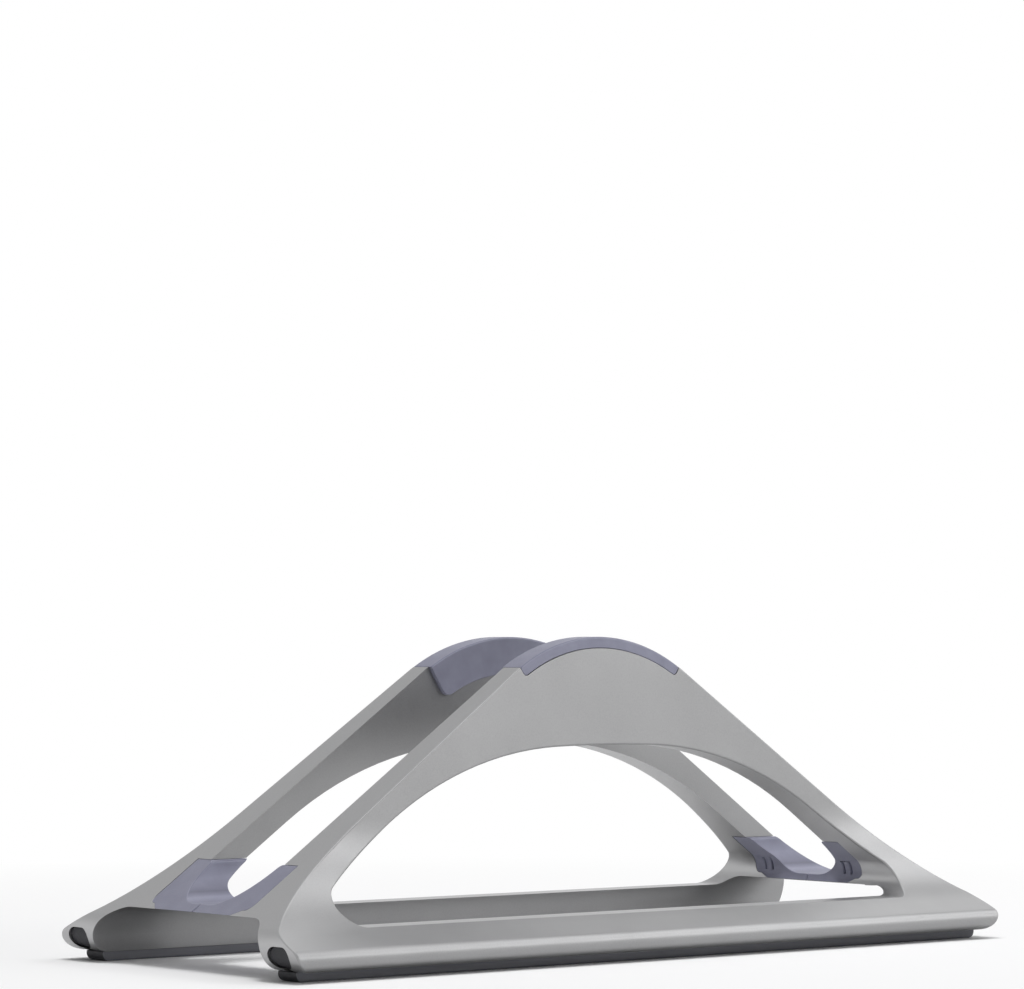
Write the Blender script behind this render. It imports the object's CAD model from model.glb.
"""Looks of the vertical laptop stand: its finishes, its soft mouldings and the studio around it."""

import logging
from abc import ABC, abstractmethod
from dataclasses import dataclass, field
from enum import Enum
from math import radians

import bmesh
import bpy
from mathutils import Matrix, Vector
from mathutils.bvhtree import BVHTree


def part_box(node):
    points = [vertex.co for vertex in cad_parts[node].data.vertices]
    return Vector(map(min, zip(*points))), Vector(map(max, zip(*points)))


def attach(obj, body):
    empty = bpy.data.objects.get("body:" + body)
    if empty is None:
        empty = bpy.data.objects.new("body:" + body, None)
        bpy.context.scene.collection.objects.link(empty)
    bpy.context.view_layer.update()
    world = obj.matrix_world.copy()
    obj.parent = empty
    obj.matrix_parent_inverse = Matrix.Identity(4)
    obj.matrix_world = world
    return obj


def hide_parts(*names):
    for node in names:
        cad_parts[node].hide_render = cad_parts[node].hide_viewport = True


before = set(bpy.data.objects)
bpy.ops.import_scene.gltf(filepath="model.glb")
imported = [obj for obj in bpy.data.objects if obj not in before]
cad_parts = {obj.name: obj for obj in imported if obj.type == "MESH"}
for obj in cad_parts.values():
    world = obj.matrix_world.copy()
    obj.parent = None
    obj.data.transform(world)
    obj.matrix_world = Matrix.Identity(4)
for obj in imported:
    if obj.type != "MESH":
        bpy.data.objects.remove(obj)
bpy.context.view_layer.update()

LOG = logging.getLogger("laptop_stand")
MILLIMETRE = 0.001
# Most of a noise texture lies between these two values
NOISE_SPREAD = (0.3, 0.7)

Colour = tuple[float, float, float]
Socket = bpy.types.NodeSocket


class Side(Enum):
    """The two sides of the stand, each a body of its own."""

    FRONT = "front"
    BACK = "back"


class End(Enum):
    """The two ends of a side."""

    LEFT = "left"
    RIGHT = "right"


class Slot(Enum):
    """Material slots of the record."""

    METAL = "satin_aluminium"
    PAD = "silicone_pad"
    RUBBER = "foot_rubber"
    STEEL = "screw_steel"


class NodeBench:
    """Places and links the nodes of one material or world."""

    def __init__(self, tree: bpy.types.NodeTree) -> None:
        """Empties the tree.

        Args:
            tree: Node tree to fill.
        """
        self.tree = tree
        tree.nodes.clear()

    def add(self, kind: str, settings: dict[str, object] | None = None, **inputs: object) -> bpy.types.Node:
        """Adds a node with its settings and socket values.

        Args:
            kind: Blender's name of the node type.
            settings: Values of the node's own properties.
            **inputs: Socket values or output sockets, by socket name with underscores for spaces.

        Returns:
            The new node.
        """
        node = self.tree.nodes.new(kind)
        for name, value in (settings or {}).items():
            setattr(node, name, value)
        for name, value in inputs.items():
            self.feed(self.socket(node, name.replace("_", " ")), value)
        return node

    def feed(self, socket: Socket, value: object) -> None:
        """Links an output socket to an input, or sets the input's value.

        Args:
            socket: Input socket.
            value: Output socket, number, vector or colour.
        """
        if isinstance(value, Socket):
            self.tree.links.new(value, socket)
        elif socket.type == "RGBA" and len(value) == 3:
            socket.default_value = (*value, 1.0)
        else:
            socket.default_value = value

    @staticmethod
    def socket(node: bpy.types.Node, name: str) -> Socket:
        """Finds the enabled input socket of a name, or of a number such as "in 1".

        Args:
            node: Node that owns the socket.
            name: Socket name, or "in" and its place.

        Returns:
            The socket.
        """
        if name.startswith("in "):
            return node.inputs[int(name.split()[1])]
        return next(one for one in node.inputs if one.name == name and one.enabled)

    def math(self, operation: str, first: object, second: object = 0.0) -> Socket:
        """Adds a math node.

        Args:
            operation: Blender's name of the operation.
            first: First value or socket.
            second: Second value or socket.

        Returns:
            The result socket.
        """
        return self.add("ShaderNodeMath", {"operation": operation}, in_0=first, in_1=second).outputs[0]

    def span(self, value: Socket, low: float, high: float, to_low: float, to_high: float) -> Socket:
        """Maps a value from one range to another, clamped.

        Args:
            value: Socket to map.
            low: Value that maps to to_low.
            high: Value that maps to to_high.
            to_low: Result at low.
            to_high: Result at high.

        Returns:
            The result socket.
        """
        node = self.add(
            "ShaderNodeMapRange", Value=value, From_Min=low, From_Max=high, To_Min=to_low, To_Max=to_high
        )
        return node.outputs["Result"]

    def blend(self, factor: Socket, first: object, second: object) -> Socket:
        """Blends two colours.

        Args:
            factor: Share of the second colour.
            first: First colour, or its socket.
            second: Second colour, or its socket.

        Returns:
            The colour socket.
        """
        node = self.add("ShaderNodeMix", {"data_type": "RGBA"}, Factor=factor)
        for socket, value in zip([one for one in node.inputs if one.enabled][1:], (first, second)):
            self.feed(socket, value)
        return next(one for one in node.outputs if one.enabled)

    def noise(self, place: Socket, scale: float, detail: float = 2.0) -> Socket:
        """Adds a noise texture.

        Args:
            place: Coordinates of the texture.
            scale: Blobs per metre.
            detail: Octaves.

        Returns:
            The noise socket.
        """
        return self.add("ShaderNodeTexNoise", Vector=place, Scale=scale, Detail=detail).outputs["Fac"]

    def stretched(self, place: Socket, factors: tuple[float, float, float]) -> Socket:
        """Scales coordinates by axis.

        Args:
            place: Coordinates.
            factors: Factor of each axis.

        Returns:
            The scaled coordinates.
        """
        node = self.add("ShaderNodeVectorMath", {"operation": "MULTIPLY"}, in_0=place, in_1=factors)
        return node.outputs["Vector"]

    def bump(self, height: Socket, strength: float, depth: float, under: Socket | None = None) -> Socket:
        """Adds a bump, over another one where there is one.

        Args:
            height: Height texture.
            strength: Share of the bump that shows.
            depth: Depth of the texture in metres.
            under: Normal of the bump below.

        Returns:
            The normal socket.
        """
        node = self.add("ShaderNodeBump", Height=height, Strength=strength, Distance=depth)
        if under is not None:
            self.feed(node.inputs["Normal"], under)
        return node.outputs["Normal"]


@dataclass(frozen=True)
class EdgeWear:
    """Patchy rubbing along the edges of a piece."""

    reach: float = 0.5 * MILLIMETRE
    samples: int = 4
    # Cosines of the turn at the edge, from fully rubbed to untouched
    turn: tuple[float, float] = (0.82, 0.985)
    share: float = 0.5
    patch_scale: float = 260.0
    patch_detail: float = 4.0
    patch_level: tuple[float, float] = (0.35, 0.65)
    patch_share: tuple[float, float] = (0.25, 1.0)

    def mask(self, bench: NodeBench, place: Socket) -> Socket:
        """Finds the rubbed edges.

        Args:
            bench: Bench of the material.
            place: Coordinates of the patches.

        Returns:
            The share of wear at each point.
        """
        soft = bench.add("ShaderNodeBevel", {"samples": self.samples}, Radius=self.reach).outputs["Normal"]
        plain = bench.add("ShaderNodeNewGeometry").outputs["Normal"]
        match = bench.add("ShaderNodeVectorMath", {"operation": "DOT_PRODUCT"}, in_0=soft, in_1=plain)
        edge = bench.span(match.outputs["Value"], *self.turn, self.share, 0.0)
        noise = bench.noise(place, self.patch_scale, self.patch_detail)
        patch = bench.span(noise, *self.patch_level, *self.patch_share)
        return bench.math("MULTIPLY", edge, patch)


def new_material(name: str) -> tuple[bpy.types.Material, NodeBench, bpy.types.Node]:
    """Makes an empty node material.

    Args:
        name: Name of the material.

    Returns:
        The material, its bench and its texture coordinates.
    """
    made = bpy.data.materials.new(name)
    made.use_nodes = True
    bench = NodeBench(made.node_tree)
    return made, bench, bench.add("ShaderNodeTexCoord")


@dataclass(frozen=True)
class SatinAluminium:
    """Bead-blasted, grey anodised aluminium with milled cut faces."""

    name: str = "satin_anodised_aluminium"
    dark: Colour = (0.27, 0.27, 0.273)
    light: Colour = (0.425, 0.425, 0.43)
    cut: Colour = (0.5, 0.5, 0.505)
    rubbed: Colour = (0.47, 0.47, 0.475)
    wear: EdgeWear = EdgeWear()
    roughness: tuple[float, float] = (0.34, 0.48)
    # A face is a cut one where its normal's share of Y is below these
    cut_level: tuple[float, float] = (0.05, 0.25)
    cut_share: float = 0.7
    cloud_scale: float = 38.0
    cloud_detail: float = 3.0
    grain_scale: float = 2300.0
    grain_share: float = 0.6
    grain_depth: float = 0.02 * MILLIMETRE
    grain_strength: float = 0.2
    mill_scale: float = 620.0
    mill_waver: float = 3.0
    mill_detail: float = 2.0
    mill_detail_scale: float = 2.0
    mill_depth: float = 0.015 * MILLIMETRE
    mill_strength: float = 0.35

    def material(self) -> bpy.types.Material:
        """Makes the finish.

        Returns:
            The material.
        """
        made, bench, place = new_material(self.name)
        cloud = bench.noise(place.outputs["Object"], self.cloud_scale, self.cloud_detail)
        grain = bench.noise(place.outputs["Object"], self.grain_scale)
        facing = bench.add("ShaderNodeSeparateXYZ", Vector=place.outputs["Normal"]).outputs["Y"]
        milled = bench.span(bench.math("ABSOLUTE", facing), *self.cut_level, self.cut_share, 0.0)
        fine = bench.math("MULTIPLY", grain, self.grain_share)
        broad = bench.math("MULTIPLY", cloud, 1.0 - self.grain_share)
        skin_colour = bench.blend(bench.math("ADD", fine, broad), self.dark, self.light)
        lines = bench.add(
            "ShaderNodeTexWave", {"bands_direction": "Y"},
            Vector=place.outputs["Object"], Scale=self.mill_scale, Distortion=self.mill_waver,
            Detail=self.mill_detail, Detail_Scale=self.mill_detail_scale,
        ).outputs["Fac"]
        skin = bench.bump(grain, self.grain_strength, self.grain_depth)
        cuts = bench.bump(bench.math("MULTIPLY", lines, milled), self.mill_strength, self.mill_depth, skin)
        shader = bench.add(
            "ShaderNodeBsdfPrincipled",
            Base_Color=bench.blend(
                self.wear.mask(bench, place.outputs["Object"]),
                bench.blend(milled, skin_colour, self.cut),
                self.rubbed,
            ),
            Metallic=1.0,
            Roughness=bench.span(grain, *NOISE_SPREAD, *self.roughness),
            Normal=cuts,
        )
        bench.add("ShaderNodeOutputMaterial", Surface=shader.outputs["BSDF"])
        return made


@dataclass(frozen=True)
class SoftRubber:
    """Matt moulded or extruded rubber with a fine skin."""

    name: str
    dark: Colour
    light: Colour
    shade: Colour
    rubbed: Colour
    wear: EdgeWear = EdgeWear(reach=0.35 * MILLIMETRE, share=0.35)
    roughness: tuple[float, float] = (0.5, 0.64)
    gloss: float = 0.5
    sheen: float = 0.15
    cut_share: float = 0.6
    # A face is a cut one where its normal's share of Y is below these
    cut_level: tuple[float, float] = (0.2, 0.55)
    # A face is on a seam where that share is within reach of the middle
    seam_middle: float = 0.62
    seam_reach: float = 0.25
    seam: float = 0.0
    cloud_scale: float = 160.0
    cloud_detail: float = 4.0
    cloud_stretch: tuple[float, float, float] = (1.0, 1.0, 1.0)
    grain_scale: float = 2600.0
    grain_depth: float = 0.03 * MILLIMETRE
    grain_strength: float = 0.2

    def material(self) -> bpy.types.Material:
        """Makes the finish.

        Returns:
            The material.
        """
        made, bench, place = new_material(self.name)
        drawn = bench.stretched(place.outputs["Object"], self.cloud_stretch)
        cloud = bench.span(bench.noise(drawn, self.cloud_scale, self.cloud_detail), *NOISE_SPREAD, 0.0, 1.0)
        grain = bench.noise(place.outputs["Object"], self.grain_scale)
        skin = bench.bump(cloud, self.grain_strength, self.grain_depth)
        facing = bench.add("ShaderNodeSeparateXYZ", Vector=place.outputs["Normal"]).outputs["Y"]
        outward = bench.math("ABSOLUTE", facing)
        cut = bench.span(outward, *self.cut_level, self.cut_share, 0.0)
        turned = bench.math("SUBTRACT", outward, self.seam_middle)
        seam = bench.span(bench.math("ABSOLUTE", turned), 0.0, self.seam_reach, self.seam, 0.0)
        skin_colour = bench.blend(cloud, self.dark, self.light)
        shader = bench.add(
            "ShaderNodeBsdfPrincipled",
            Base_Color=bench.blend(
                self.wear.mask(bench, place.outputs["Object"]),
                bench.blend(bench.math("MAXIMUM", cut, seam), skin_colour, self.shade),
                self.rubbed,
            ),
            Roughness=bench.span(grain, *NOISE_SPREAD, *self.roughness),
            Specular_IOR_Level=self.gloss,
            Sheen_Weight=self.sheen,
            Normal=bench.bump(grain, self.grain_strength, self.grain_depth, skin),
        )
        bench.add("ShaderNodeOutputMaterial", Surface=shader.outputs["BSDF"])
        return made


@dataclass(frozen=True)
class SocketSteel:
    """Turned steel with fine rings around the screw's axis."""

    name: str = "turned_steel"
    dark: Colour = (0.38, 0.38, 0.385)
    light: Colour = (0.52, 0.52, 0.525)
    roughness: tuple[float, float] = (0.24, 0.36)
    ring_scale: float = 900.0
    ring_waver: float = 0.6
    ring_detail: float = 1.0
    ring_depth: float = 0.01 * MILLIMETRE
    ring_strength: float = 0.25
    cloud_scale: float = 700.0
    cloud_detail: float = 3.0

    def material(self) -> bpy.types.Material:
        """Makes the finish.

        Returns:
            The material.
        """
        made, bench, place = new_material(self.name)
        rings = bench.add(
            "ShaderNodeTexWave", {"wave_type": "RINGS", "rings_direction": "Z"},
            Vector=place.outputs["Object"], Scale=self.ring_scale, Distortion=self.ring_waver,
            Detail=self.ring_detail,
        ).outputs["Fac"]
        cloud = bench.noise(place.outputs["Object"], self.cloud_scale, self.cloud_detail)
        shader = bench.add(
            "ShaderNodeBsdfPrincipled",
            Base_Color=bench.blend(cloud, self.dark, self.light),
            Metallic=1.0,
            Roughness=bench.span(rings, 0.0, 1.0, *self.roughness),
            Normal=bench.bump(rings, self.ring_strength, self.ring_depth),
        )
        bench.add("ShaderNodeOutputMaterial", Surface=shader.outputs["BSDF"])
        return made


@dataclass(frozen=True)
class Finishes:
    """The finishes of the stand, one for each slot."""

    metal: SatinAluminium = field(default_factory=SatinAluminium)
    steel: SocketSteel = field(default_factory=SocketSteel)
    pad: SoftRubber = field(
        default_factory=lambda: SoftRubber(
            name="moulded_silicone", dark=(0.285, 0.29, 0.385), light=(0.345, 0.35, 0.455),
            shade=(0.12, 0.12, 0.17), rubbed=(0.36, 0.365, 0.46), cut_share=0.5, seam=0.8,
        )
    )
    rubber: SoftRubber = field(
        default_factory=lambda: SoftRubber(
            name="foot_rubber", dark=(0.18, 0.183, 0.203), light=(0.25, 0.254, 0.28),
            shade=(0.02, 0.02, 0.023), rubbed=(0.24, 0.24, 0.25), gloss=0.28, sheen=0.0,
            cut_share=0.9, cloud_stretch=(0.06, 3.0, 3.0),
        )
    )

    def build(self) -> dict[Slot, bpy.types.Material]:
        """Makes all the materials.

        Returns:
            Material of each slot.
        """
        return {
            Slot.METAL: self.metal.material(),
            Slot.STEEL: self.steel.material(),
            Slot.PAD: self.pad.material(),
            Slot.RUBBER: self.rubber.material(),
        }


@dataclass(frozen=True)
class EdgeRounding:
    """How the edges of a moulded or turned piece are rounded."""

    radius: float
    steps: int = 3
    profile: float = 0.5
    # Degrees between faces, for edges that are rounded and for facets that are joined
    crease: float = 30.0
    flat: float = 1.0
    weld: float = 0.001 * MILLIMETRE
    # Share of the radius that a point may leave the old skin by
    stray: float = 0.35

    def apply(self, work: bmesh.types.BMesh) -> None:
        """Joins flat facets, rounds the edges that stay sharp and puts stray points back on the old skin.

        Args:
            work: Mesh to round.
        """
        bmesh.ops.remove_doubles(work, verts=work.verts, dist=self.weld)
        bmesh.ops.dissolve_limit(work, angle_limit=radians(self.flat), verts=work.verts, edges=work.edges)
        skin = BVHTree.FromBMesh(work)
        sharp = [
            edge for edge in work.edges
            if len(edge.link_faces) == 2 and edge.calc_face_angle() > radians(self.crease)
        ]
        bmesh.ops.bevel(
            work, geom=sharp, offset=self.radius, offset_type="OFFSET", segments=self.steps,
            profile=self.profile, affect="EDGES", clamp_overlap=False,
        )
        for vert in work.verts:
            nearest, _, _, gap = skin.find_nearest(vert.co)
            if gap > self.stray * self.radius:
                vert.co = nearest


@dataclass(frozen=True)
class Piece:
    """A piece of the stand that stands for one CAD node."""

    node: str
    body: str
    slot: Slot

    def dress(self, materials: dict[Slot, bpy.types.Material]) -> None:
        """Gives the CAD node its finish.

        Args:
            materials: Material of each slot.
        """
        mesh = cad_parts[self.node].data
        mesh.materials.clear()
        mesh.materials.append(materials[self.slot])
        LOG.info("%s keeps its shape, in %s", self.node, self.slot.value)


@dataclass(frozen=True)
class RoundedPiece(Piece):
    """A piece that is remade from its CAD node with softly rounded edges."""

    rounding: EdgeRounding
    suffix: str

    def dress(self, materials: dict[Slot, bpy.types.Material]) -> None:
        """Makes the rounded piece and puts it in the node's place.

        Args:
            materials: Material of each slot.
        """
        low, high = (Vector(corner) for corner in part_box(self.node))
        centre = (low + high) / 2
        work = bmesh.new()
        work.from_mesh(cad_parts[self.node].data)
        self.rounding.apply(work)
        bmesh.ops.translate(work, verts=work.verts, vec=-centre)
        mesh = bpy.data.meshes.new(f"{self.node}_{self.suffix}")
        work.to_mesh(mesh)
        work.free()
        self._smooth(mesh)
        mesh.materials.clear()
        mesh.materials.append(materials[self.slot])
        made = bpy.data.objects.new(mesh.name, mesh)
        made.location = centre
        bpy.context.scene.collection.objects.link(made)
        even = made.modifiers.new("even_shading", "WEIGHTED_NORMAL")
        even.keep_sharp = True
        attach(made, self.body)
        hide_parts(self.node)
        LOG.info("%s remade with %d faces", made.name, len(mesh.polygons))

    def _smooth(self, mesh: bpy.types.Mesh) -> None:
        """Shades a mesh smoothly up to the crease angle.

        Args:
            mesh: Mesh to shade.
        """
        normals = mesh.attributes.get("custom_normal")
        if normals is not None:
            mesh.attributes.remove(normals)
        mesh.shade_smooth()
        mesh.set_sharp_from_angle(angle=radians(self.rounding.crease))


class Assembly(ABC):
    """A part of the stand that is made of pieces."""

    @abstractmethod
    def pieces(self) -> list[Piece]:
        """Lists the pieces."""

    def dress(self, materials: dict[Slot, bpy.types.Material]) -> None:
        """Makes and finishes the pieces.

        Args:
            materials: Material of each slot.
        """
        for piece in self.pieces():
            piece.dress(materials)


@dataclass(frozen=True)
class StandSide(Assembly):
    """One side of the stand with its pads and its foot strip."""

    side: Side
    cap_radius: float = 0.35 * MILLIMETRE
    cradle_radius: float = 0.3 * MILLIMETRE
    strip_radius: float = 0.25 * MILLIMETRE

    def pieces(self) -> list[Piece]:
        """Lists the side's pieces.

        Returns:
            The pieces.
        """
        body = self.side.value
        cap = EdgeRounding(self.cap_radius)
        strip = EdgeRounding(self.strip_radius)
        cradle = EdgeRounding(self.cradle_radius)
        return [
            Piece(f"{body}_side", body, Slot.METAL),
            RoundedPiece(f"{body}_top_pad", body, Slot.PAD, cap, "moulding"),
            RoundedPiece(f"{body}_foot_strip", body, Slot.RUBBER, strip, "extrusion"),
            *(
                RoundedPiece(f"{body}_{end.value}_cradle_pad", body, Slot.PAD, cradle, "moulding")
                for end in End
            ),
        ]


@dataclass(frozen=True)
class ClampScrew(Assembly):
    """One hex-socket screw that clamps a tongue."""

    end: End
    radius: float = 0.1 * MILLIMETRE

    def pieces(self) -> list[Piece]:
        """Lists the screw's one piece."""
        name = f"{self.end.value}_clamp_screw"
        return [RoundedPiece(name, name, Slot.STEEL, EdgeRounding(self.radius), "turned")]


@dataclass(frozen=True)
class Viewpoint:
    """Where the photograph was taken from."""

    place: tuple[float, float, float] = (-0.7436, -0.8909, 0.0885)
    heading: float = 39.36
    pitch: float = 2.15
    lens: float = 139.74
    near: float = 0.01

    def build(self) -> None:
        """Makes the camera."""
        data = bpy.data.cameras.new("viewpoint")
        data.lens = self.lens
        data.clip_start = self.near
        camera = bpy.data.objects.new("viewpoint", data)
        camera.location = self.place
        camera.rotation_euler = (radians(90 + self.pitch), 0, -radians(self.heading))
        bpy.context.scene.collection.objects.link(camera)
        bpy.context.scene.camera = camera


@dataclass(frozen=True)
class Softbox:
    """One soft studio lamp that points at the stand."""

    name: str
    place: tuple[float, float, float]
    width: float
    height: float
    watts: float
    # Whether polished and satin surfaces mirror the lamp
    mirrored: bool = True

    def build(self, target: Vector) -> None:
        """Makes the lamp.

        Args:
            target: Point that the lamp faces.
        """
        data = bpy.data.lights.new(self.name, "AREA")
        data.shape = "RECTANGLE"
        data.size = self.width
        data.size_y = self.height
        data.energy = self.watts
        lamp = bpy.data.objects.new(self.name, data)
        lamp.location = self.place
        lamp.rotation_euler = (target - lamp.location).to_track_quat("-Z", "Y").to_euler()
        lamp.visible_glossy = self.mirrored
        bpy.context.scene.collection.objects.link(lamp)


@dataclass(frozen=True)
class Studio:
    """White floor and surround, greyer overhead, with soft lamps."""

    floor_radius: float = 8.0
    floor_segments: int = 96
    floor_colour: Colour = (0.93, 0.93, 0.935)
    # Between these radii the floor fades into the surround
    clear_radius: float = 0.16
    fade_radius: float = 0.5
    ambient: float = 0.17
    white: Colour = (1.0, 1.0, 1.0)
    ceiling: Colour = (0.54, 0.54, 0.545)
    # Sines of the heights between which the surround turns from white to the ceiling's grey
    ceiling_rise: tuple[float, float] = (0.25, 0.68)
    target: tuple[float, float, float] = (0.0, 0.0, 0.04)
    lamps: tuple[Softbox, ...] = (
        Softbox("key_softbox", (0.0, 0.0, 1.65), 0.5, 0.5, 10.5, mirrored=False),
        Softbox("overhead_softbox", (0.0, 0.0, 1.7), 1.8, 1.8, 12.0),
        Softbox("back_softbox", (1.3, 0.85, 1.25), 0.9, 0.9, 2.6),
        Softbox("end_softbox", (1.3, -0.5, 1.3), 1.1, 0.6, 4.7),
        Softbox("front_softbox", (1.3, -1.28, 0.86), 1.3, 0.4, 4.4),
    )

    def build(self) -> None:
        """Makes the floor, the surround and the lamps."""
        bpy.context.scene.view_settings.view_transform = "Standard"
        self._surround()
        self._floor()
        for lamp in self.lamps:
            lamp.build(Vector(self.target))

    @staticmethod
    def _seen(bench: NodeBench) -> Socket:
        """Gives 1 to rays from the camera, from gloss and through glass.

        Args:
            bench: Bench of the material or world.

        Returns:
            The socket.
        """
        path = bench.add("ShaderNodeLightPath").outputs
        glossy = bench.math("MAXIMUM", path["Is Camera Ray"], path["Is Glossy Ray"])
        return bench.math("MAXIMUM", glossy, path["Is Transmission Ray"])

    def _surround(self) -> None:
        """Makes a surround that is white around the horizon and lights the stand softly."""
        world = bpy.data.worlds.new("white_surround")
        world.use_nodes = True
        bpy.context.scene.world = world
        bench = NodeBench(world.node_tree)
        rise = bench.add(
            "ShaderNodeSeparateXYZ", Vector=bench.add("ShaderNodeTexCoord").outputs["Generated"]
        ).outputs["Z"]
        overhead = bench.span(rise, *self.ceiling_rise, 0.0, 1.0)
        sky = bench.blend(overhead, self.white, self.ceiling)
        shown = bench.add("ShaderNodeBackground", Color=sky, Strength=1.0)
        soft = bench.add("ShaderNodeBackground", Color=self.white, Strength=self.ambient)
        mix = bench.add(
            "ShaderNodeMixShader", in_0=self._seen(bench), in_1=soft.outputs[0], in_2=shown.outputs[0]
        )
        bench.add("ShaderNodeOutputWorld", Surface=mix.outputs[0])

    def _floor(self) -> None:
        """Makes a pale floor that keeps the shadow, fades into the surround and is clear from below."""
        mesh = bpy.data.meshes.new("studio_floor")
        work = bmesh.new()
        bmesh.ops.create_circle(work, cap_ends=True, segments=self.floor_segments, radius=self.floor_radius)
        work.to_mesh(mesh)
        work.free()
        floor = bpy.data.objects.new("studio_floor", mesh)
        bpy.context.scene.collection.objects.link(floor)
        made, bench, place = new_material("pale_floor")
        reach = bench.add("ShaderNodeVectorMath", {"operation": "LENGTH"}, in_0=place.outputs["Object"])
        away = bench.span(reach.outputs["Value"], self.clear_radius, self.fade_radius, 0.0, 1.0)
        matt = bench.add("ShaderNodeBsdfDiffuse", Color=self.floor_colour)
        glow = bench.add("ShaderNodeEmission", Color=self.white, Strength=1.0)
        share = bench.math("MULTIPLY", away, self._seen(bench))
        mix = bench.add("ShaderNodeMixShader", in_0=share, in_1=matt.outputs[0], in_2=glow.outputs[0])
        clear = bench.add("ShaderNodeBsdfTransparent")
        under = bench.add("ShaderNodeNewGeometry").outputs["Backfacing"]
        sheet = bench.add("ShaderNodeMixShader", in_0=under, in_1=mix.outputs[0], in_2=clear.outputs[0])
        bench.add("ShaderNodeOutputMaterial", Surface=sheet.outputs[0])
        mesh.materials.append(made)


def main() -> None:
    """Dresses the stand and builds the studio."""
    logging.basicConfig(level=logging.INFO, format="%(name)s: %(message)s")
    materials = Finishes().build()
    assemblies: list[Assembly] = [*(StandSide(side) for side in Side), *(ClampScrew(end) for end in End)]
    for assembly in assemblies:
        assembly.dress(materials)
    Studio().build()
    Viewpoint().build()


if __name__ == "__main__":
    main()
